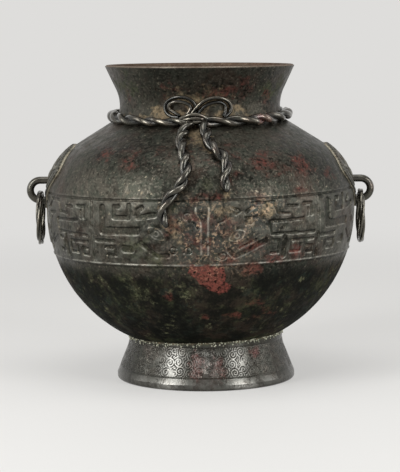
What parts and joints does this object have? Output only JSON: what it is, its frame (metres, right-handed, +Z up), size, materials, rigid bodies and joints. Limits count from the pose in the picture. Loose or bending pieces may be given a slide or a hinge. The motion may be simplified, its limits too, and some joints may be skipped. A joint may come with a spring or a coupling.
{
  "type": "hu vessel",
  "caption": "Globular bronze vessel with a flaring neck bound by a cast rope tied in a bow, a flared foot, and mask plaques with loose swinging rings at the sides.",
  "frame": {"origin": "on the table, on the axis of the belly and the neck", "axes": "+Z up, +X towards the right-hand ring, -Y towards the front with the bow"},
  "size_m": [0.266, 0.2379, 0.24],
  "materials": {
    "bronze_body": "satin",
    "bronze_mask": "satin",
    "bronze_rope": "satin",
    "bronze_ring": "satin"
  },
  "bodies": {
    "vessel": {"neck": "bronze_body", "shoulder": "bronze_body", "belly": "bronze_body", "floor_plate": "bronze_body", "foot": "bronze_body", "bow_knot": "bronze_rope", "neck_cord": "bronze_rope", "left_bow_loop": "bronze_rope", "right_bow_loop": "bronze_rope", "left_cord_tail": "bronze_rope", "right_cord_tail": "bronze_rope", "left_mask": "bronze_mask", "right_mask": "bronze_mask", "left_staple": "bronze_ring", "right_staple": "bronze_ring"},
    "left_handle": {"left_ring": "bronze_ring"},
    "right_handle": {"right_ring": "bronze_ring"}
  },
  "joints": [
    {"name": "left_ring_swing", "type": "hinge", "parent": "vessel", "child": "left_handle", "pos_m": [-0.1226, 0, 0.1426], "axis": [0, 1, 0], "range_deg": [-6, 190]},
    {"name": "right_ring_swing", "type": "hinge", "parent": "vessel", "child": "right_handle", "pos_m": [0.1226, 0, 0.1426], "axis": [0, -1, 0], "range_deg": [-6, 190]}
  ]
}
